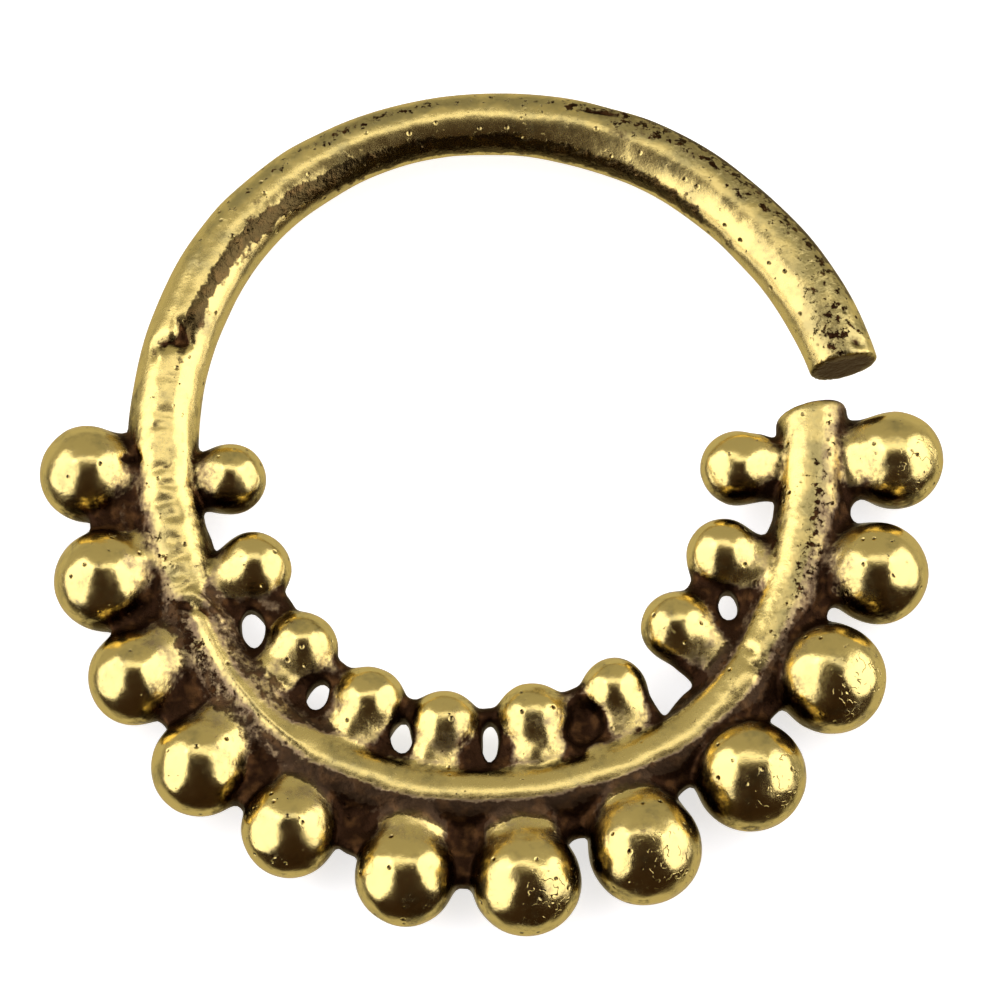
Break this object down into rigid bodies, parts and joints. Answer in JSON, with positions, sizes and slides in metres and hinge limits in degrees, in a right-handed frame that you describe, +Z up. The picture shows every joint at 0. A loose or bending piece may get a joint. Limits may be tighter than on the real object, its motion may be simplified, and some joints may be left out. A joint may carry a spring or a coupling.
{
  "type": "nose ring",
  "caption": "Open wire hoop nose ring in brass, with a row of small granules along the outside and the inside of its lower half.",
  "frame": {"origin": "under the middle of the ring's outline, on the surface that it lies on", "axes": "+Z up, along the hoop's hole; +Y towards the plain top of the hoop; +X towards the side with the open gap"},
  "size_m": [0.0154, 0.0152, 0.0019],
  "materials": {
    "brass": "polished, darkened in the recesses"
  },
  "bodies": {
    "root": {"nose_ring": "brass"}
  },
  "joints": []
}
